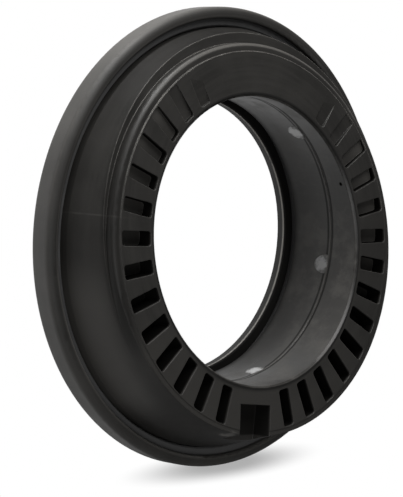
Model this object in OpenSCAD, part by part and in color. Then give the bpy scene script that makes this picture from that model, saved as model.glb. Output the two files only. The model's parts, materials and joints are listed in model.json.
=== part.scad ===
// Strut mount bearing: a moulded cap and a moulded spring seat turn on a ring of balls.
// The part lies on the flat end of the cap, with the sloping spring seat face up.
// Millimetres, bearing axis on Z, thick side of the spring seat towards -Y.
// Radii build up from the bore, outwards, by named walls and gaps.

/* [Overall] */
// Bore of the spring seat
bore_d = 76; // [60:0.5:96]
// Height of the seat face above the cap end face, on the axis
seat_height = 30.4; // [27:0.2:36]
// Slope of the seat face, in degrees
seat_tilt = 5.8; // [4:0.1:7]
// Gap between faces that turn past each other
running_gap = 0.6; // [0.4:0.05:0.7]

/* [Cap] */
// Distance that the collar lip stands inside the bore of the seat
collar_inset = 0.5; // [0.2:0.1:1.5]
// Height of the collar lip and of the floor inside it
collar_h = 3.2; // [2.6:0.1:3.6]
// Chamfer on the edges of the collar
collar_chamfer = 0.4; // [0.2:0.1:0.8]
// Wall of the cap under the race and at the flange
cap_wall = 2.5; // [2.2:0.1:3]
// Height of the flange floor above the centres of the balls
flange_rise = 2; // [1.6:0.1:2.4]
// Wall of the ridge behind the cap race
ridge_wall = 1.5; // [1.2:0.1:1.8]
// Depth of the rim above the flange floor
rim_depth = 4.9; // [4:0.1:5.6]
// Wall of the rim skirt
rim_wall = 3.1; // [3:0.1:4]
// Radius of the outer edge at the open end of the rim
rim_round = 2.1; // [1:0.1:2.2]
// Radius of the inner edge at the open end of the rim
rim_inner_round = 0.7; // [0.3:0.1:0.7]
// Radius of the edge at the back of the rim
rim_back_round = 1.4; // [0.6:0.1:2]

/* [Spring seat] */
// Wall of the sleeve between the bore and the race
sleeve_wall = 4.3; // [3.8:0.1:5]
// Gap between the collar and the lower end of the sleeve
sleeve_gap = 3.3; // [2.6:0.1:3.8]
// Wall of the neck at the open end of the rim
neck_wall = 2.3; // [2:0.1:3]
// Width of the groove between the rim and the neck
groove_w = 2.4; // [1.8:0.1:3]
// Draft of the neck, in degrees
neck_draft = 15; // [13:0.5:16]
// Depth of the neck step below the seat face
step_drop = 3; // [2.4:0.1:4]
// Distance of the shoulder inside the root of the neck
shoulder_inset = 3.6; // [3.2:0.1:4]
// Radius of the shoulder edge
shoulder_round = 1.3; // [0.6:0.1:1.6]
// Width of the ring between the shoulder and the raised seat face
shoulder_ring = 2.3; // [2:0.1:3]
// Height that the seat face stands above the shoulder on the thin side
land_step = 0.45; // [0.3:0.05:0.6]
// Height that the seat face stands above the shoulder on the thick side
land_step_thick = 0.12; // [0.08:0.02:0.24]
// Depth of the seam in the bore below the seat face, on the axis
seam_drop = 10; // [8:0.1:12]
// Width of the seam line in the bore
seam_w = 0.5; // [0.3:0.05:0.8]
// Depth of the seam line in the bore
seam_depth = 0.35; // [0.2:0.05:0.5]
// Step of the bore at the seam
seam_step = 0.2; // [0.1:0.05:0.3]
// Chamfer where the bore meets the seat face
bore_chamfer = 0.7; // [0.3:0.1:0.9]

/* [Slots] */
// Slots on each side of the index notch
slots_per_side = 14; // [8:1:14]
// Angle between slots
slot_pitch = 10.15; // [10:0.05:10.3]
// Angle from the index notch to the first slot
slot_start = 15.2; // [14:0.1:18]
// Width of a slot
slot_w = 3.8; // [2.6:0.1:4.4]
// Radius of the corners of a slot
slot_corner = 0.8; // [0.4:0.1:1.2]
// Distance from the bore to the inner end of a slot
slot_bore_wall = 1.7; // [1.5:0.1:4]
// Distance from the outer end of a slot to the edge of the raised seat face
slot_edge_wall = 0.5; // [0.4:0.1:3]
// Depth of the slot floor below the seat face, on the axis
slot_drop = 4; // [3:0.1:5]

/* [Index notch] */
// Width of the index notch
notch_w = 11.2; // [8:0.1:12]
// Distance from the bore to the inner end of the notch
notch_bore_wall = 4.8; // [4:0.1:8]
// Depth of the notch below the seat face, on the axis
notch_drop = 1; // [0:0.1:3]

/* [Bearing] */
// Diameter of a ball
ball_d = 6; // [5.4:0.1:6.6]
// Number of balls
ball_count = 36; // [24:1:38]
// Thickness of the steel races
race_t = 1.5; // [1.2:0.1:1.6]
// Gap between a ball and its track
track_gap = 0.12; // [0.1:0.01:0.15]
// Angle that each race covers, in degrees
race_arc = 110; // [90:1:116]
// Gap between a race and its seat
race_fit = 0.04; // [0.02:0.01:0.06]
// Thickness of the cage
cage_t = 1.8; // [1.4:0.1:2]
// Width of the cage beyond the ball on each side
cage_rim = 1.3; // [1.1:0.05:1.4]
// Gap between a ball and its pocket
pocket_gap = 0.25; // [0.2:0.05:0.35]

/* [Seals] */
// Thickness of the foot and lip of a seal
seal_t = 0.8; // [0.6:0.05:0.9]
// Gap between a seal lip and the face that turns past it
lip_gap = 0.3; // [0.25:0.05:0.4]
// Depth of the outer seal below the open end of the rim
outer_lip_drop = 1.6; // [0.8:0.1:2]
// Distance of the inner seal lip from the wall of the bore
inner_lip_inset = 2.4; // [1.6:0.1:2.6]

/* [Hidden] */
$fn = 96;
cut = 1;

// The contact line of the balls slopes at 45 degrees, outwards to the cap.
contact_angle = 45;
ball_r = ball_d / 2;
track_r = ball_r + track_gap;
race_r = track_r + race_t;
race_seat_r = race_r + race_fit;
cap_race_mid = -contact_angle;
seat_race_mid = 180 - contact_angle;

// Radii, from the bore outwards
bore_r = bore_d / 2;
collar_bore_r = bore_r - collar_inset;
sleeve_r = bore_r + sleeve_wall;
ball_pitch_r = sleeve_r + race_seat_r;
ridge_inner_r = ball_pitch_r + race_seat_r;
ridge_r = ridge_inner_r + ridge_wall;
neck_inner_r = ridge_r + running_gap;
neck_root_r = neck_inner_r + neck_wall;
skirt_r = neck_root_r + groove_w;
rim_r = skirt_r + rim_wall;
shoulder_r = neck_root_r - shoulder_inset;
land_r = shoulder_r - shoulder_ring;
slot_inner_r = bore_r + slot_bore_wall;
slot_outer_r = land_r - slot_edge_wall;
notch_inner_r = bore_r + notch_bore_wall;

// Heights, from the cap end face up. The cap wall has its full thickness where the
// contact line meets the back cone.
ball_z = (cap_wall + race_seat_r) / sin(contact_angle);
sleeve_end_z = collar_h + sleeve_gap;
flange_floor_z = ball_z + flange_rise;
flange_back_z = flange_floor_z - cap_wall;
rim_end_z = flange_floor_z + rim_depth;
ceiling_z = ball_z + race_seat_r + running_gap;
ridge_top_z = ceiling_z - running_gap;
neck_end_z = flange_floor_z + seal_t + running_gap;
seam_z = seat_height - seam_drop;
step_z = seat_height - step_drop;
slot_floor_z = seat_height - slot_drop;
notch_floor_z = seat_height - notch_drop;
above_z = seat_height + rim_r * sin(seat_tilt) + cut;
neck_peak_z = seat_height + shoulder_r * tan(seat_tilt) + cut;
neck_peak_r = neck_root_r - (neck_peak_z - rim_end_z) * tan(neck_draft);
ring_tilt = seat_tilt + atan((land_step - land_step_thick) / (2 * land_r));

cage_half = ball_r + cage_rim;
pocket_r = ball_r + pocket_gap;

ball_names = [for (i = [1 : ball_count]) str("ball_", i < 10 ? "0" : "", i)];

// Takes a square corner back to a round of radius q; the solid lies towards [side_r, side_z].
module corner_cut(corner, q, side_r, side_z) {
    translate(corner)
        difference() {
            translate([side_r > 0 ? -cut : -q, side_z > 0 ? -cut : -q])
                square(q + cut);
            translate([side_r * q, side_z * q])
                circle(q);
        }
}

// Carries a shape from the level frame into the sloping frame of the seat face.
module on_slope(tilt, height) {
    translate([0, 0, height])
        rotate([-tilt, 0, 0])
            children();
}

// Half-plane sector around the ball centre, from angle a0 to a1.
module sector(a0, a1, reach) {
    mid = (a0 + a1) / 2;
    polygon([
        [0, 0],
        reach * [cos(a0), sin(a0)],
        reach * [cos(mid), sin(mid)],
        reach * [cos(a1), sin(a1)]
    ]);
}

// Formed steel race: an arc of sheet around the ball centre.
module race(mid_angle) {
    rotate_extrude()
        translate([ball_pitch_r, ball_z])
            intersection() {
                difference() {
                    circle(race_r);
                    circle(track_r);
                }
                sector(mid_angle - race_arc / 2, mid_angle + race_arc / 2, 2 * race_r);
            }
}

// Cap: collar, back cone, flange and rim skirt, with the seat of the cap race.
module cap() {
    cone_top_r = ball_pitch_r + flange_back_z;
    race_edge = [
        ball_pitch_r + race_seat_r * cos(cap_race_mid - race_arc / 2),
        ball_z + race_seat_r * sin(cap_race_mid - race_arc / 2)
    ];
    color("#2b2b2b")
        rotate_extrude()
            difference() {
                polygon([
                    [collar_bore_r, collar_chamfer],
                    [collar_bore_r + collar_chamfer, 0],
                    [ball_pitch_r, 0],
                    [cone_top_r, flange_back_z],
                    [rim_r, flange_back_z],
                    [rim_r, rim_end_z],
                    [skirt_r, rim_end_z],
                    [skirt_r, flange_floor_z],
                    [ridge_r, flange_floor_z],
                    [ridge_r, ridge_top_z],
                    [ridge_inner_r, ridge_top_z],
                    [ridge_inner_r, ball_z],
                    [ball_pitch_r, ball_z],
                    race_edge,
                    [race_edge[0] - seal_t, race_edge[1]],
                    [race_edge[0] - seal_t, collar_h],
                    [collar_bore_r + collar_chamfer, collar_h],
                    [collar_bore_r, collar_h - collar_chamfer]
                ]);
                translate([ball_pitch_r, ball_z])
                    circle(race_seat_r);
                corner_cut([rim_r, rim_end_z], rim_round, -1, -1);
                corner_cut([skirt_r, rim_end_z], rim_inner_round, 1, -1);
                corner_cut([rim_r, flange_back_z], rim_back_round, -1, 1);
            }
}

// Sleeve, race seat and coned neck, on the bearing axis, up to the peak of the cone.
module seat_body() {
    rotate_extrude()
        difference() {
            polygon([
                [bore_r, sleeve_end_z],
                [sleeve_r, sleeve_end_z],
                [sleeve_r, ball_z],
                [ball_pitch_r, ball_z],
                [ball_pitch_r, ceiling_z],
                [neck_inner_r, ceiling_z],
                [neck_inner_r, neck_end_z],
                [neck_root_r, neck_end_z],
                [neck_root_r, rim_end_z],
                [neck_peak_r, neck_peak_z],
                [bore_r, neck_peak_z]
            ]);
            translate([ball_pitch_r, ball_z])
                circle(race_seat_r);
        }
}

// All that lies below the step of the neck, the round-edged shoulder and the raised land.
module seat_head() {
    root = step_drop + shoulder_round;
    on_slope(seat_tilt, step_z)
        translate([0, 0, -seat_height])
            cylinder(r = 2 * rim_r, h = seat_height);
    on_slope(ring_tilt, seat_height - (land_step + land_step_thick) / 2)
        rotate_extrude()
            difference() {
                translate([bore_r - 2 * cut, -root])
                    square([shoulder_r - bore_r + 2 * cut, root]);
                corner_cut([shoulder_r, 0], shoulder_round, -1, -1);
            }
    on_slope(seat_tilt, seat_height)
        translate([0, 0, -root])
            cylinder(r = land_r, h = root);
}

// Outline of one slot, along +X.
module slot_outline() {
    inner = slot_inner_r + slot_corner;
    outer = slot_outer_r - slot_corner;
    half = slot_w / 2 - slot_corner;
    translate([inner, -slot_w / 2])
        square([outer - inner, slot_w]);
    translate([slot_inner_r, -half])
        square([slot_outer_r - slot_inner_r, 2 * half]);
    for (r = [inner, outer])
        for (y = [-half, half])
            translate([r, y])
                circle(slot_corner, $fn = 24);
}

// Slots on both sides of the index notch, on one level floor, so they run out up the slope.
module slots() {
    for (side = [-1, 1])
        for (i = [0 : slots_per_side - 1])
            rotate(-90 + side * (slot_start + i * slot_pitch))
                translate([0, 0, slot_floor_z])
                    linear_extrude(above_z - slot_floor_z)
                        slot_outline();
}

// Index notch through the edge of the shoulder on the thick side.
module index_notch() {
    translate([-notch_w / 2, -rim_r, notch_floor_z])
        cube([notch_w, rim_r - notch_inner_r, above_z - notch_floor_z]);
}

// The cone trims the head, so the step of the neck runs out towards the thick side.
module spring_seat() {
    color("#262626")
        difference() {
            intersection() {
                seat_body();
                seat_head();
            }
            cylinder(r = bore_r, h = above_z);
            translate([0, 0, sleeve_end_z - cut])
                cylinder(r = bore_r + seam_step, h = seam_z - sleeve_end_z + cut);
            translate([0, 0, seam_z - seam_w / 2])
                cylinder(r = bore_r + seam_depth, h = seam_w);
            on_slope(seat_tilt, seat_height - 2 * bore_chamfer)
                cylinder(r1 = bore_r - bore_chamfer, r2 = bore_r + 2 * bore_chamfer, h = 3 * bore_chamfer);
            slots();
            index_notch();
        }
}

module cap_race() {
    color("silver") race(cap_race_mid);
}

module seat_race() {
    color("silver") race(seat_race_mid);
}

// Coned cage across the contact line, with one round pocket for each ball.
module ball_cage() {
    color("#d8cfae")
        difference() {
            rotate_extrude()
                translate([ball_pitch_r, ball_z])
                    rotate(90 - contact_angle)
                        translate([-cage_half, -cage_t / 2])
                            square([2 * cage_half, cage_t]);
            for (i = [0 : ball_count - 1])
                at_ball(i)
                    rotate([0, -contact_angle, 0])
                        cylinder(r = pocket_r, h = 2 * cage_half, center = true, $fn = 48);
        }
}

// Moves its children to the place of ball number i.
module at_ball(i) {
    rotate(i * 360 / ball_count)
        translate([ball_pitch_r, 0, ball_z])
            children();
}

module ball(i) {
    color("gainsboro")
        at_ball(i)
            sphere(ball_r, $fn = 48);
}

// Rubber ring that fills the groove between the rim and the neck, down to the flange floor.
module outer_seal() {
    lip_r = neck_root_r + lip_gap;
    lip_z = rim_end_z - outer_lip_drop;
    color("#1c1c1c")
        rotate_extrude()
            polygon([
                [ridge_r + race_fit, flange_floor_z],
                [skirt_r - race_fit, flange_floor_z],
                [skirt_r - race_fit, lip_z],
                [lip_r + seal_t / 2, lip_z],
                [lip_r, lip_z - seal_t / 2],
                [lip_r, flange_floor_z + seal_t],
                [ridge_r + race_fit, flange_floor_z + seal_t]
            ]);
}

// Rubber ring on the floor of the collar, with a lip under the end of the sleeve.
module inner_seal() {
    foot_r = sleeve_r + seal_t;
    lip_r = bore_r + inner_lip_inset;
    color("#1c1c1c")
        rotate_extrude()
            polygon([
                [lip_r, collar_h],
                [foot_r, collar_h],
                [foot_r, collar_h + seal_t],
                [lip_r + seal_t, collar_h + seal_t],
                [lip_r + seal_t, sleeve_end_z - lip_gap],
                [lip_r + seal_t / 2, sleeve_end_z - lip_gap],
                [lip_r, collar_h + seal_t]
            ]);
}

cap();
spring_seat();
cap_race();
seat_race();
ball_cage();
outer_seal();
inner_seal();
for (i = [0 : ball_count - 1])
    ball(i);
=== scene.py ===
"""Strut mount bearing: finishes, moulding marks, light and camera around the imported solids."""
import bpy
import json
import math
from mathutils import Matrix, Vector


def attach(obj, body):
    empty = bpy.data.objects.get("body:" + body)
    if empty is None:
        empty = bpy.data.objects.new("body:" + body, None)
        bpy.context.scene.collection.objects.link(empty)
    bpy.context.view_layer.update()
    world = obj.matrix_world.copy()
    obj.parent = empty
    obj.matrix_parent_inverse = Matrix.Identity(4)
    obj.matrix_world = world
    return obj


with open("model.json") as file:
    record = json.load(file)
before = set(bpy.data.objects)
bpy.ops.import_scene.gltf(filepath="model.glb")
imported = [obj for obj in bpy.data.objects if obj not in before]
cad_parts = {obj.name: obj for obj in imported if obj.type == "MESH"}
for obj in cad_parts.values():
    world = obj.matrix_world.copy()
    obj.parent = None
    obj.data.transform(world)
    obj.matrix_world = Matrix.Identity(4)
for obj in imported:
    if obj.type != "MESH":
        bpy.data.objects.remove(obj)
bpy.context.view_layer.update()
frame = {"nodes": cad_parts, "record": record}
nodes = frame["nodes"]

MM = 0.001
WHITE = (1.0, 1.0, 1.0, 1.0)


def mm(*lengths):
    """Lengths in millimetres, as the scene's metres."""
    return tuple(length * MM for length in lengths)


# Shader maths

class Wire:
    """One output socket; arithmetic on it adds Math nodes to its tree."""

    def __init__(self, shade, socket):
        self.shade = shade
        self.socket = socket

    def math(self, operation, *others, clamp=False):
        values = {i: v for i, v in enumerate((self, *others))}
        return self.shade.node("ShaderNodeMath", values, operation=operation, use_clamp=clamp)

    def __add__(self, other):
        return self.math("ADD", other)

    def __sub__(self, other):
        return self.math("SUBTRACT", other)

    def __mul__(self, other):
        return self.math("MULTIPLY", other)

    def __truediv__(self, other):
        return self.math("DIVIDE", other)

    def __radd__(self, other):
        return self.math("ADD", other)

    def __rmul__(self, other):
        return self.math("MULTIPLY", other)

    def __rsub__(self, other):
        return self.shade.node("ShaderNodeMath", {0: other, 1: self}, operation="SUBTRACT")

    def __abs__(self):
        return self.math("ABSOLUTE")

    def larger(self, other):
        return self.math("MAXIMUM", other)

    def clamped(self):
        return self.math("ADD", 0.0, clamp=True)

    def above(self, low, high):
        """0 below low and 1 above high, with a smooth step between them."""
        return self.shade.node(
            "ShaderNodeMapRange", {"Value": self, "From Min": low, "From Max": high},
            interpolation_type="SMOOTHSTEP")

    def below(self, low, high):
        """1 below low and 0 above high."""
        return 1.0 - self.above(low, high)


def across(a, b):
    """Hypotenuse of two lengths at right angles."""
    return (a * a + b * b).math("SQRT")


class Shade:
    """A node tree under construction."""

    def __init__(self, tree):
        self.tree = tree
        tree.nodes.clear()

    def node(self, kind, inputs=None, out=0, **settings):
        """Adds a node: its settings first, then the values or links of its sockets."""
        made = self.tree.nodes.new(kind)
        for name, value in settings.items():
            setattr(made, name, value)
        for name, value in (inputs or {}).items():
            if isinstance(value, Wire):
                self.tree.links.new(value.socket, made.inputs[name])
            else:
                made.inputs[name].default_value = value
        return Wire(self, made.outputs[out]) if made.outputs else None

    def mix(self, factor, first, second):
        """Colour from first to second."""
        return self.node("ShaderNodeMix", {0: factor, 6: first, 7: second}, out=2, data_type="RGBA")

    def place(self):
        return self.node("ShaderNodeTexCoord", out="Object")

    def axes(self, vector):
        split = self.node("ShaderNodeSeparateXYZ", {0: vector})
        outputs = split.socket.node.outputs
        return [Wire(self, outputs[i]) for i in range(3)]

    def noise(self, vector, scale=1.0, detail=3.0, rough=0.55):
        return self.node("ShaderNodeTexNoise", {
            "Vector": vector, "Scale": scale, "Detail": detail, "Roughness": rough})

    def stretched(self, x, y, z):
        return self.node("ShaderNodeCombineXYZ", {0: x, 1: y, 2: z})

    def edge(self, radius):
        """1 on an edge that a small round would soften, 0 on open faces; and the softened normal."""
        soft = self.node("ShaderNodeBevel", {"Radius": radius}, samples=6)
        true = self.node("ShaderNodeNewGeometry", out="Normal")
        along = self.node(
            "ShaderNodeVectorMath", {0: soft, 1: true}, out="Value", operation="DOT_PRODUCT")
        return (1.0 - along).clamped(), soft

    def bump(self, height, distance, strength, normal=None):
        inputs = {"Height": height, "Distance": distance, "Strength": strength}
        if normal is not None:
            inputs["Normal"] = normal
        return self.node("ShaderNodeBump", inputs)

    def surface(self, **inputs):
        """Ends the tree in a Principled shader; names use _ for spaces."""
        named = {name.replace("_", " "): value for name, value in inputs.items()}
        shader = self.node("ShaderNodeBsdfPrincipled", named)
        self.node("ShaderNodeOutputMaterial", {"Surface": shader})


def finish_of(name):
    material = bpy.data.materials.new(name)
    material.use_nodes = True
    return material, Shade(material.node_tree)


def grey(value):
    return (value, value, value, 1.0)


def charcoal(value):
    """Near-black with the slight warmth of glass-filled plastic."""
    return (value * 1.05, value, value * 0.92, 1.0)


# Black plastic

LINE_WAVES = 1.6


class Moulding:
    """Layers of glass-filled black plastic: flow clouds, turning lines, grain, and pale edges that are
    partly rubbed pale and partly a painted highlight.
    """

    def __init__(self, name, level, streaks, edge_rub_and_highlight):
        self.material, self.s = finish_of(name)
        s = self.s
        self.at = s.place()
        self.x, self.y, self.z = s.axes(self.at)
        self.radius = across(self.x, self.y)
        self.up = s.axes(s.node("ShaderNodeNewGeometry", out="True Normal"))[2]
        around = s.stretched(
            self.x / self.radius * LINE_WAVES,
            self.y / self.radius * LINE_WAVES,
            (self.z + self.radius) * streaks)
        clouds = s.noise(self.at, scale=55.0, detail=4.0)
        self.patches = s.noise(self.at, scale=240.0)
        self.lines = s.noise(around, rough=0.7)
        self.grain = s.noise(self.at, scale=2600.0, detail=2.0)
        edge, self.soft = s.edge(radius=0.35 * MM)
        # Pale edges: partly rubbed paleness, partly a painted highlight where edges would catch light.
        spotty = 0.35 + 0.9 * self.patches.above(0.35, 0.65)
        self.rubbed_and_lit_edges = (edge.above(0.015, 0.16) * spotty).clamped()
        self.tone = s.mix(clouds.above(0.3, 0.72), charcoal(level * 0.78), charcoal(level * 1.26))
        self.shade(self.lines.above(0.35, 0.7), tone=level * 1.6, strength=0.35)
        self.shade(self.grain.above(0.60, 0.78), tone=level * 2.4, strength=0.3)
        self.shade(self.rubbed_and_lit_edges, tone=0.11, strength=edge_rub_and_highlight)
        self.dull = 0.0
        self.unlit = None

    def shade(self, mask, tone, strength=1.0):
        """Lays charcoal of a tone over the colour where the mask is 1."""
        self.tone = self.s.mix(mask * strength, self.tone, charcoal(tone))

    def darken(self, mask, strength=1.0):
        """Paints shade: takes light away where the mask is 1, as in a recess; where masks meet, the
        darker counts.
        """
        share = mask * strength
        self.unlit = self.unlit.larger(share) if self.unlit else share

    def near(self, place, reach):
        """1 at a place, falling to 0 within reach of it."""
        away = self.s.node(
            "ShaderNodeVectorMath", {0: self.at, 1: place}, out="Value", operation="DISTANCE")
        return away.below(0.5 * reach, reach)

    def done(self, roughness, specular):
        """Ends the material; roughness is its mean."""
        s = self.s
        uneven = 0.14 * (self.patches - 0.5) + 0.14 * (self.lines - 0.5) + 0.10 * self.rubbed_and_lit_edges
        height = self.grain * 0.5 + self.lines * 0.35 + self.patches * 0.6
        skin = s.node("ShaderNodeBsdfPrincipled", {
            "Base Color": self.tone,
            "Roughness": (roughness + uneven + self.dull).clamped(),
            "Specular IOR Level": specular,
            "Normal": s.bump(height, distance=0.03 * MM, strength=0.45, normal=self.soft)})
        # Painted shade: a near-black surface, mixed in where unlit is set.
        painted_shade_skin = s.node("ShaderNodeBsdfDiffuse", {"Color": charcoal(0.002)})
        shown = s.node("ShaderNodeMixShader", {0: self.unlit, 1: skin, 2: painted_shade_skin})
        s.node("ShaderNodeOutputMaterial", {"Surface": shown})
        return self.material


# Places on the cap. A pair is where a smooth step starts and ends.

LIP_Z = 2.55 * MM
LIP_HALF = mm(0.15, 0.4)
LIP_RADIUS = mm(38.2, 38.6)
LIP_BACK = mm(2.7, 3.0)
COLLAR_RADIUS = mm(42, 46)
COLLAR_TOP = mm(8, 9)
SKIRT_RADIUS = mm(58.6, 59.6)
SKIRT_FLOOR = mm(11, 12)
SKIRT_LEFT = mm(-30, 20)
SKIRT_UPPER = mm(-30, 0)
SKIRT_THIN_SIDE = mm(-10, 25)
THICK_SIDE = mm(-45, -15)
BEAD_START = mm(15.2, 16.9)
BEAD_UPPER = mm(-55, -15)
CROWN_RADIUS = mm(60.3, 61)
CROWN_UPPER = mm(30, 50)


def cap_finish(name):
    """Rim smooth from the mould, with painted shade on the bead; dull collar with painted shade and a
    painted highlight on its lip; painted light and shade inside the skirt and a painted highlight on
    the crown.
    """
    m = Moulding(name, level=0.032, streaks=1500.0, edge_rub_and_highlight=0.3)
    collar = m.radius.below(*COLLAR_RADIUS)
    # Painted shade: the collar is darkened as if in the shade of the bore.
    m.shade(collar, tone=0.006, strength=0.8)
    m.dull = 0.15 * collar
    # Painted highlight: a pale line along the lip of the collar; behind it, painted shade makes the
    # collar look lower.
    lip = m.radius.below(*LIP_RADIUS) * abs(m.z - LIP_Z).below(*LIP_HALF)
    m.shade(lip * m.patches.above(0.2, 0.5), tone=0.2)
    m.darken(collar * m.z.above(*LIP_BACK) * m.z.below(*COLLAR_TOP), strength=0.8)
    inside = m.radius.below(*SKIRT_RADIUS) * m.z.above(*SKIRT_FLOOR)
    # Painted light and shade inside the skirt: its tone is set by side, paler on the thick side, and it
    # is darkened at the left and top.
    m.shade(inside * m.y.above(*SKIRT_THIN_SIDE), tone=0.025)
    m.shade(inside * m.y.below(*THICK_SIDE), tone=0.08)
    m.darken(inside * m.x.below(*SKIRT_LEFT) * m.y.above(*SKIRT_UPPER), strength=0.5)
    # Painted highlight: the outer wall of the rim is paler towards the top.
    m.shade(m.y.above(*CROWN_UPPER) * m.radius.above(*CROWN_RADIUS), tone=0.07, strength=0.6)
    # Painted shade on the bead, stronger towards the top.
    bead = m.z.above(*BEAD_START) * (1.0 - inside)
    m.darken(bead, strength=0.2 + 0.42 * m.y.above(*BEAD_UPPER))
    return m.done(roughness=0.58, specular=0.5)


# Places on the spring seat. A pair is where a smooth step starts and ends, in place or in upward tilt.

FACE_Z = 30.4 * MM
FACE_SLOPE = math.tan(math.radians(5.8))
FACE_SKIN = mm(0.3, 0.6)
FACE_UP = (0.98, 0.99)
FACE_LEFT = mm(0, 35)
WALL_DEPTH = mm(0.2, 1.0)
FLOOR_DEPTH = mm(3.8, 6.8)
FLOOR_UP = (0.8, 0.95)
LEVEL_UP = (0.998, 0.9995)
LEVEL_START = mm(0.6, 1.2)
LEVEL_SHALLOW = mm(3.5, 6)
SLOT_INNER = mm(39.4, 39.8)
SLOT_OUTER = mm(49.6, 50.0)
SLOT_LENGTH = mm(43, 49)
NOTCH_HALF = mm(6, 7)
NOTCH_INNER = mm(-43, -42)
NOTCH_OUTER = mm(51.0, 51.6)
SHOULDER_LEFT = mm(-48, -38)
SHOULDER_DEPTH = mm(3, 4.5)
SHOULDER_RADIUS = mm(50, 51)
SHOULDER_UP = (0.3, 0.5)
SHOULDER_OVER = (0.88, 0.96)
SHOULDER_TOP = mm(20, 50)
THIN_SIDE = mm(-5, 30)
THIN_SIDE_RADIUS = mm(49.4, 49.7)
NECK_STEEP = (0.5, 0.7)
NECK_RADIUS = mm(52, 54)
NECK_TOP = mm(10, 45)
NECK_LIGHT_AT = mm(-43, -32, 18)
NECK_LIGHT_REACH = 28 * MM
PALE_PATCH_AT = mm(-8.2, -51.7, 33.5)
PALE_PATCH_REACH = 3 * MM
SPLIT_Y = 1.9 * MM
SPLIT_HALF = mm(0.1, 0.3)
SPLIT_END = mm(-55, -45)
BORE_R = 38 * MM
BORE_WALL = mm(38.6, 38.8)
BORE_FOOT = mm(5, 9)
BORE_DEEP = mm(8, 22)
LEAD_INNER = mm(38.3, 38.5)
LEAD_OUTER = mm(38.9, 39.3)
DRAG_ACROSS = 500.0
DRAG_ALONG = 60.0
SEAM_Z = 20.4 * MM
SEAM_STEP = 0.2 * MM
SEAM_MIDDLE = SEAM_Z - 0.25 * MM
SEAM_APART = 0.85 * MM
SEAM_LINE = mm(0.2, 0.5)
RIDGE_LINE = mm(0.12, 0.35)
PIT_ANGLE = math.radians(28.5)
PIT = (BORE_R * math.cos(PIT_ANGLE), BORE_R * math.sin(PIT_ANGLE), 26.2 * MM)
PIT_REACH = 0.7 * MM


def shade_recesses(m, depth):
    """Slots and index notch: painted shade on the walls and deep floors, and painted light on floors
    where they are shallow.
    """
    wall = depth.above(*WALL_DEPTH) * 0.93
    floor = depth.above(*FLOOR_DEPTH) * 0.97
    notch = abs(m.x).below(*NOTCH_HALF) * m.y.below(*NOTCH_INNER)
    recess = (wall + m.up.above(*FLOOR_UP) * (floor - wall)) * (1.0 - 0.35 * notch)
    cut = m.radius.below(*SLOT_OUTER).larger(notch * m.radius.below(*NOTCH_OUTER))
    cut = cut * m.radius.above(*SLOT_INNER)
    hollow = recess * cut
    # Painted shade in the slot walls, deep floors and notch.
    m.darken(hollow)
    m.shade(hollow.above(0.05, 0.3), tone=0.010)
    # Painted light on floors where they are shallow, paler towards the outer end.
    level = m.up.above(*LEVEL_UP) * depth.above(*LEVEL_START) * depth.below(*LEVEL_SHALLOW)
    m.shade(level * cut, tone=0.036, strength=0.4 + 0.6 * m.radius.above(*SLOT_LENGTH))


def shade_outside(m, depth):
    """Face, shoulder and neck: painted light on the thick side of the face and on the lower neck,
    painted shade on the left shoulder and the upper neck, painted highlights on the edges and shoulder
    of the thin side, a pale patch by the notch and a split line.
    """
    face = depth.below(*FACE_SKIN) * m.up.above(*FACE_UP) * m.radius.above(*SLOT_INNER)
    # Painted light: the face is paler on its thick, lower-left side.
    m.shade(face * m.y.below(*THICK_SIDE) * m.x.below(*FACE_LEFT), tone=0.022, strength=0.8)
    # Painted shade on the shoulder and ledge at the left.
    side = m.x.below(*SHOULDER_LEFT) * depth.below(*SHOULDER_DEPTH) * m.radius.above(*SHOULDER_RADIUS)
    m.darken(side, strength=0.3)
    outer = m.radius.above(*NECK_RADIUS)
    # Painted shade on the steep upper part of the neck.
    m.darken(m.up.below(*NECK_STEEP) * outer * m.y.above(*NECK_TOP), strength=0.28)
    # Painted highlights on the edges and the shoulder round of the thin side.
    thin_side = m.y.above(*THIN_SIDE) * m.radius.above(*THIN_SIDE_RADIUS)
    m.shade(m.rubbed_and_lit_edges * thin_side, tone=0.14, strength=0.8)
    shoulder = m.up.above(*SHOULDER_UP) * m.up.below(*SHOULDER_OVER) * m.y.above(*SHOULDER_TOP)
    m.shade(shoulder * thin_side, tone=0.10, strength=0.4)
    # Painted light: the lower-left of the neck is paler, as if lit.
    m.shade(m.near(NECK_LIGHT_AT, NECK_LIGHT_REACH) * outer, tone=0.036)
    # A pale patch on the shoulder edge beside the notch.
    m.shade(m.near(PALE_PATCH_AT, PALE_PATCH_REACH) * m.patches.above(0.35, 0.55), tone=0.08)
    split = abs(m.y - SPLIT_Y).below(*SPLIT_HALF) * m.x.below(*SPLIT_END)
    m.shade(split * m.patches.above(0.3, 0.6), tone=0.04, strength=0.4)


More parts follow.
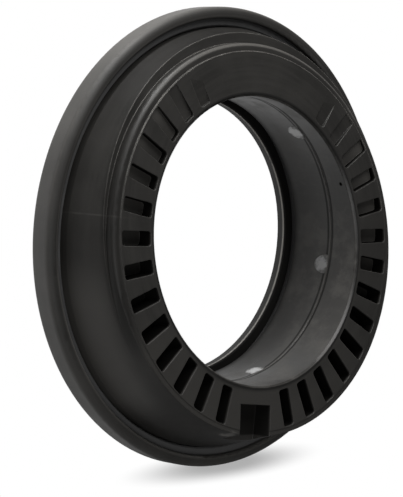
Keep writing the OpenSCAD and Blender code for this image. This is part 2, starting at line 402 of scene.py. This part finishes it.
def shade_bore(m):
    """Bore: painted shade deepening towards the cap, drag marks, smudges, a double seam line drawn in
    painted shade with a painted highlight between, a pit drawn in painted shade, and painted shade on
    the lead-in edge.
    """
    in_bore = m.radius.below(*BORE_WALL)
    dragged = m.s.stretched(m.x * DRAG_ACROSS, m.y * DRAG_ACROSS, m.z * DRAG_ALONG)
    drag = m.s.noise(dragged, detail=4.0, rough=0.6)
    smudge = m.s.noise(m.at, scale=130.0, detail=5.0, rough=0.66).above(0.44, 0.66)
    deeper = 0.6 * m.z.below(*BORE_FOOT) + 0.36 * m.z.below(*BORE_DEEP)
    from_seam = abs(m.z - SEAM_MIDDLE)
    seam = abs(from_seam - SEAM_APART).below(*SEAM_LINE)
    # Painted shade, deeper towards the cap.
    m.darken(in_bore * deeper)
    # The moulding seam, drawn as two lines of painted shade.
    m.darken(in_bore * seam, strength=0.6)
    # A pit, drawn as painted shade.
    m.darken(in_bore * m.near(PIT, PIT_REACH))
    m.shade(in_bore * drag.above(0.35, 0.75), tone=0.022, strength=0.5)
    m.shade(in_bore * smudge, tone=0.042, strength=0.7)
    # Painted highlight on the ridge between the seam's lines.
    ridge = from_seam.below(*RIDGE_LINE) * m.patches.above(0.3, 0.6)
    m.shade(in_bore * ridge, tone=0.07, strength=0.5)
    # Painted shade on the lead-in edge of the bore.
    m.shade(m.radius.above(*LEAD_INNER) * m.radius.below(*LEAD_OUTER), tone=0.004, strength=0.8)
    m.dull = in_bore * (0.14 * smudge - 0.16)


def seat_finish(name):
    m = Moulding(name, level=0.0135, streaks=900.0, edge_rub_and_highlight=0.2)
    depth = FACE_Z - FACE_SLOPE * m.y - m.z
    shade_recesses(m, depth)
    shade_outside(m, depth)
    shade_bore(m)
    return m.done(roughness=0.48, specular=0.25)


# Steel, nylon and rubber

RING_WAVES = 20.0
NYLON = (0.60, 0.55, 0.42, 1.0)
NYLON_PALE = (0.70, 0.66, 0.53, 1.0)
NYLON_EDGE = (0.78, 0.75, 0.65, 1.0)
SEAL_THIN_SIDE = mm(5, 40)


def bearing_steel(name, level, roughness, brushed):
    """Ground steel with turning lines and a faint brown stain."""
    material, s = finish_of(name)
    at = s.place()
    x, y, z = s.axes(at)
    around = s.stretched(x * RING_WAVES, y * RING_WAVES, (z + across(x, y)) * brushed)
    rings = s.noise(around, rough=0.7)
    stain = s.noise(at, scale=160.0, detail=4.0)
    stained = (level * 0.82, level * 0.8, level * 0.74, 1.0)
    s.surface(
        Base_Color=s.mix(stain.above(0.35, 0.75), grey(level), stained),
        Roughness=(roughness + 0.16 * (rings - 0.5) + 0.10 * (stain - 0.5)).clamped(),
        Metallic=1.0,
        Normal=s.bump(rings, distance=0.01 * MM, strength=0.25))
    return material


def natural_nylon(name):
    """Undyed nylon, cloudy, with pale edges."""
    material, s = finish_of(name)
    at = s.place()
    clouds = s.noise(at, scale=120.0, detail=4.0)
    grain = s.noise(at, scale=2200.0, detail=2.0)
    edge, soft = s.edge(radius=0.25 * MM)
    tone = s.mix(clouds.above(0.3, 0.7), NYLON, NYLON_PALE)
    s.surface(
        Base_Color=s.mix(edge.above(0.02, 0.2) * 0.5, tone, NYLON_EDGE),
        Roughness=0.42 + 0.16 * (clouds - 0.5),
        Normal=s.bump(grain, distance=0.02 * MM, strength=0.3, normal=soft))
    return material


def seal_rubber(name):
    """Black rubber with a grey bloom, and painted light that makes it paler on the thin side and most
    of all on the thick side.
    """
    material, s = finish_of(name)
    at = s.place()
    y = s.axes(at)[1]
    bloom = s.noise(at, scale=140.0, detail=4.0)
    grain = s.noise(at, scale=3000.0, detail=2.0)
    edge, soft = s.edge(radius=0.15 * MM)
    tone = s.mix(bloom.above(0.4, 0.75), grey(0.016), grey(0.026))
    # Painted light: paler on the thin side, and most of all on the thick side.
    tone = s.mix(y.above(*SEAL_THIN_SIDE), tone, grey(0.022))
    tone = s.mix(y.below(*THICK_SIDE), tone, grey(0.06))
    s.surface(
        Base_Color=s.mix(edge.above(0.02, 0.2) * 0.4, tone, grey(0.04)),
        Roughness=0.80 + 0.2 * (bloom - 0.5),
        Normal=s.bump(grain, distance=0.02 * MM, strength=0.4, normal=soft))
    return material


FINISHES = {
    "cap_plastic": cap_finish("cap_plastic_finish"),
    "seat_plastic": seat_finish("seat_plastic_finish"),
    "race_steel": bearing_steel("race_steel_finish", level=0.55, roughness=0.28, brushed=2600.0),
    "ball_steel": bearing_steel("ball_steel_finish", level=0.72, roughness=0.14, brushed=900.0),
    "cage_plastic": natural_nylon("cage_nylon_finish"),
    "seal_rubber": seal_rubber("seal_rubber_finish"),
}
for part in frame["record"]["subparts"]:
    mesh = nodes[part["node"]].data
    mesh.materials.clear()
    mesh.materials.append(FINISHES[part["material_slot"]])


# Gate marks in the bore

GATE_COUNT = 6
GATE_FIRST = math.radians(-66)
GATE_WALL_R = BORE_R + SEAM_STEP
GATE_ALONG = 5.4 * MM
GATE_ROUND = 4.3 * MM
GATE_FLAT = 0.15
GATE_GAP = 0.3 * MM
GATE_Z = SEAM_Z - GATE_GAP - GATE_ROUND * GATE_FLAT
GATE_PROUD = 0.12 * MM
GATE_SUNK = 0.25 * MM
GATE_RIM = 0.2 * MM
GATE_CROWN = 0.05 * MM
GATE_BEVEL = 0.08 * MM
GATE_SMOOTH = math.radians(40)
GATE_DIM_X = mm(25, 35)
TORN_MIDDLE = 0.4 * GATE_ROUND
TORN_REACH = 0.6 * GATE_ROUND


def gate_finish(name):
    """Pale, torn skin where the moulding was fed, ragged towards the edge of each mark."""
    material, s = finish_of(name)
    at = s.place()
    x, y, z = s.axes(at)
    half_pitch = math.pi / GATE_COUNT
    turn = (y.math("ARCTAN2", x) - GATE_FIRST).math("WRAP", half_pitch, -half_pitch)
    along = turn * (2 * GATE_WALL_R / GATE_ALONG)
    axial = (z - GATE_Z + TORN_MIDDLE) / TORN_REACH
    smear = s.noise(at, scale=700.0, detail=4.0, rough=0.65)
    torn = (across(along, axial) + 1.6 * (smear - 0.5)).below(0.45, 1.05)
    edge, soft = s.edge(radius=0.3 * MM)
    # Marks past x of 25 to 35 mm are drawn dimmer.
    pale = s.mix(x.above(*GATE_DIM_X), grey(0.33), grey(0.13))
    tone = s.mix(torn, charcoal(0.025), pale)
    s.surface(
        Base_Color=s.mix(edge.above(0.02, 0.2) * 0.4, tone, grey(0.06)),
        Roughness=0.5 + 0.2 * (smear - 0.5),
        Normal=s.bump(smear, distance=0.04 * MM, strength=0.5, normal=soft))
    return material


def select_points(test):
    """Selects the vertices of the mesh in edit mode that pass the test, and faces between them."""
    bpy.ops.mesh.select_all(action="DESELECT")
    bpy.ops.object.mode_set(mode="OBJECT")
    for point in bpy.context.object.data.vertices:
        point.select = test(point.co)
    bpy.ops.object.mode_set(mode="EDIT")


def gate_pad(finish):
    """D-shaped pad on the wall of the bore where y is 0, its flat side along the seam."""
    bpy.ops.object.select_all(action="DESELECT")
    bpy.ops.mesh.primitive_cylinder_add(
        vertices=32, radius=0.5, depth=GATE_PROUD + GATE_SUNK,
        location=(GATE_WALL_R - (GATE_PROUD - GATE_SUNK) / 2, 0, GATE_Z),
        rotation=(0, -math.pi / 2, 0))
    pad = bpy.context.object
    pad.scale = (2 * GATE_ROUND, GATE_ALONG, 1)
    bpy.ops.object.transform_apply(location=True, rotation=True, scale=True)
    bpy.ops.object.mode_set(mode="EDIT")
    bpy.ops.mesh.select_mode(type="VERT")
    select_points(lambda at: at.z > GATE_Z)
    bpy.ops.transform.resize(value=(1, 1, GATE_FLAT), center_override=(0, 0, GATE_Z))
    select_points(lambda at: at.x < GATE_WALL_R)
    bpy.ops.mesh.inset(thickness=GATE_RIM)
    bpy.ops.transform.translate(value=(-GATE_CROWN, 0, 0))
    bpy.ops.object.mode_set(mode="OBJECT")
    bevel = pad.modifiers.new("round", "BEVEL")
    bevel.width = GATE_BEVEL
    bevel.segments = 2
    bevel.limit_method = "ANGLE"
    bpy.ops.object.modifier_apply(modifier=bevel.name)
    bpy.ops.object.shade_smooth_by_angle(angle=GATE_SMOOTH)
    pad.data.materials.append(finish)
    return pad


def gate_marks():
    """Copies of one pad around the bore, each with its own mesh."""
    pad = gate_pad(gate_finish("gate_skin_finish"))
    for index in range(GATE_COUNT):
        bpy.ops.object.select_all(action="DESELECT")
        pad.select_set(True)
        bpy.context.view_layer.objects.active = pad
        bpy.ops.object.duplicate(linked=False)
        mark = bpy.context.object
        mark.name = f"gate_mark_{index + 1}"
        mark.rotation_euler = (0, 0, GATE_FIRST + index * 2 * math.pi / GATE_COUNT)
        bpy.ops.object.transform_apply(location=False, rotation=True, scale=False)
        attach(mark, "spring_side")
    bpy.data.objects.remove(pad)


gate_marks()


# Floor, light and camera

FACE_CENTRE = Vector((0, 0, FACE_Z))
FLOOR_HALF = 3.0
FLOOR_Z = -0.05 * MM
FLOOR_WHITE = 0.95
FLOOR_SHADE = 0.85
SHADOW_AT = mm(26, -62.4)
SHADOW_REACH = mm(42, 5.4)
SHADOW_SLOPE = 0.118
SHADOW_FADE = (0.2, 1.0)
UNDER_AT = mm(12, -3)
UNDER_EDGE = mm(52.46, 61)
HOLE_EDGE = mm(38, 40)
MIRRORED_HOLE = mm(38, 44)
MIRRORED_RING = mm(76, 90)
MIRRORED_FRONT = mm(-75, -40)
CORNER_AT = mm(-60, -40)
CORNER_EDGE = mm(45, 75)
MIRRORED_SHARE = 0.75
AMBIENT = 0.13
LAMP_DISTANCE = 0.6
IMAGE_H = 497
FOCAL_PX = 2470
CAMERA_DISTANCE = 650 * MM
YAW = math.radians(44.257)
PITCH = math.radians(3.693)
SPIN = math.radians(-4.5)
OFFSET_RIGHT = 15.5 * MM
OFFSET_UP = 1.95 * MM


def studio_floor():
    """White to the camera apart from a soft shadow; reflections show it white beside the part."""
    bpy.ops.object.select_all(action="DESELECT")
    bpy.ops.mesh.primitive_plane_add(size=2 * FLOOR_HALF, location=(0, 0, FLOOR_Z))
    floor = bpy.context.object
    floor.name = "studio_floor"
    material, s = finish_of("studio_white")
    x, y = s.axes(s.place())[:2]

    def away_from(spot):
        return across(x - spot[0], y - spot[1])

    radius = across(x, y)
    from_shadow = x - SHADOW_AT[0]
    streak = across(
        from_shadow / SHADOW_REACH[0],
        (y - SHADOW_AT[1] - SHADOW_SLOPE * from_shadow) / SHADOW_REACH[1]).below(*SHADOW_FADE)
    under = away_from(UNDER_AT).below(*UNDER_EDGE) * radius.above(*HOLE_EDGE)
    shadow = streak.larger(under)
    hole = radius.below(*MIRRORED_HOLE) * MIRRORED_SHARE
    beside = radius.below(*MIRRORED_RING) * y.above(*MIRRORED_FRONT)
    corner = away_from(CORNER_AT).below(*CORNER_EDGE) * MIRRORED_SHARE
    lit = s.node("ShaderNodeBsdfDiffuse", {"Color": grey(FLOOR_WHITE)})
    white = s.node("ShaderNodeEmission", {"Color": WHITE})
    dark = s.node("ShaderNodeEmission", {"Color": grey(AMBIENT)})
    in_view = s.node("ShaderNodeLightPath", out="Is Camera Ray")
    mirrored = s.node("ShaderNodeLightPath", out="Is Glossy Ray")
    sheet = s.node("ShaderNodeMixShader", {
        0: in_view * (1.0 - FLOOR_SHADE * shadow), 1: lit, 2: white})
    room = s.node("ShaderNodeMixShader", {
        0: hole.larger(beside.larger(corner)), 1: dark, 2: white})
    shown = s.node("ShaderNodeMixShader", {0: mirrored, 1: sheet, 2: room})
    s.node("ShaderNodeOutputMaterial", {"Surface": shown})
    floor.data.materials.append(material)


def studio_world():
    """White to the camera, dim to the part."""
    world = bpy.data.worlds.new("studio")
    world.use_nodes = True
    s = Shade(world.node_tree)
    in_view = s.node("ShaderNodeLightPath", out="Is Camera Ray")
    sky = s.node("ShaderNodeBackground", {
        "Color": WHITE, "Strength": AMBIENT + (1.0 - AMBIENT) * in_view})
    s.node("ShaderNodeOutputWorld", {"Surface": sky})
    bpy.context.scene.world = world


def soft_box(name, towards, size, level):
    """Square lamp that looks at the middle of the part; level 1 shows a colour there as written."""
    lamp = bpy.data.lights.new(name, "AREA")
    lamp.shape = "SQUARE"
    lamp.size = size
    lamp.energy = level * (math.pi * LAMP_DISTANCE) ** 2
    box = bpy.data.objects.new(name, lamp)
    bpy.context.scene.collection.objects.link(box)
    direction = Vector(towards).normalized()
    box.location = FACE_CENTRE + direction * LAMP_DISTANCE
    box.rotation_euler = direction.to_track_quat("Z", "Y").to_euler()


def photo_camera():
    """Camera turned so that the ring, which lies flat, shows as it does in the photo."""
    cy, sy, cp, sp = math.cos(YAW), math.sin(YAW), math.cos(PITCH), math.sin(PITCH)
    unspin = Matrix.Rotation(-SPIN, 3, "Z")
    right = unspin @ Vector((cy, sy * sp, sy * cp))
    up = unspin @ Vector((0, cp, -sp))
    back = unspin @ Vector((-sy, cy * sp, cy * cp))
    data = bpy.data.cameras.new("photo_camera")
    data.sensor_fit = "VERTICAL"
    data.lens = FOCAL_PX / IMAGE_H * data.sensor_height
    camera = bpy.data.objects.new("photo_camera", data)
    bpy.context.scene.collection.objects.link(camera)
    place = FACE_CENTRE + back * CAMERA_DISTANCE - right * OFFSET_RIGHT - up * OFFSET_UP
    turn = Matrix((right, up, back)).transposed().to_4x4()
    camera.matrix_world = Matrix.Translation(place) @ turn
    bpy.context.scene.camera = camera


studio_floor()
studio_world()
soft_box("key_box", towards=(-0.20, 0.78, 0.60), size=0.4, level=1.1)
soft_box("edge_box", towards=(-0.26, 0.96, 0.06), size=0.2, level=1.25)
soft_box("fill_box", towards=(-0.62, -0.28, 0.73), size=0.4, level=0.4)
photo_camera()
bpy.context.scene.view_settings.view_transform = "Standard"
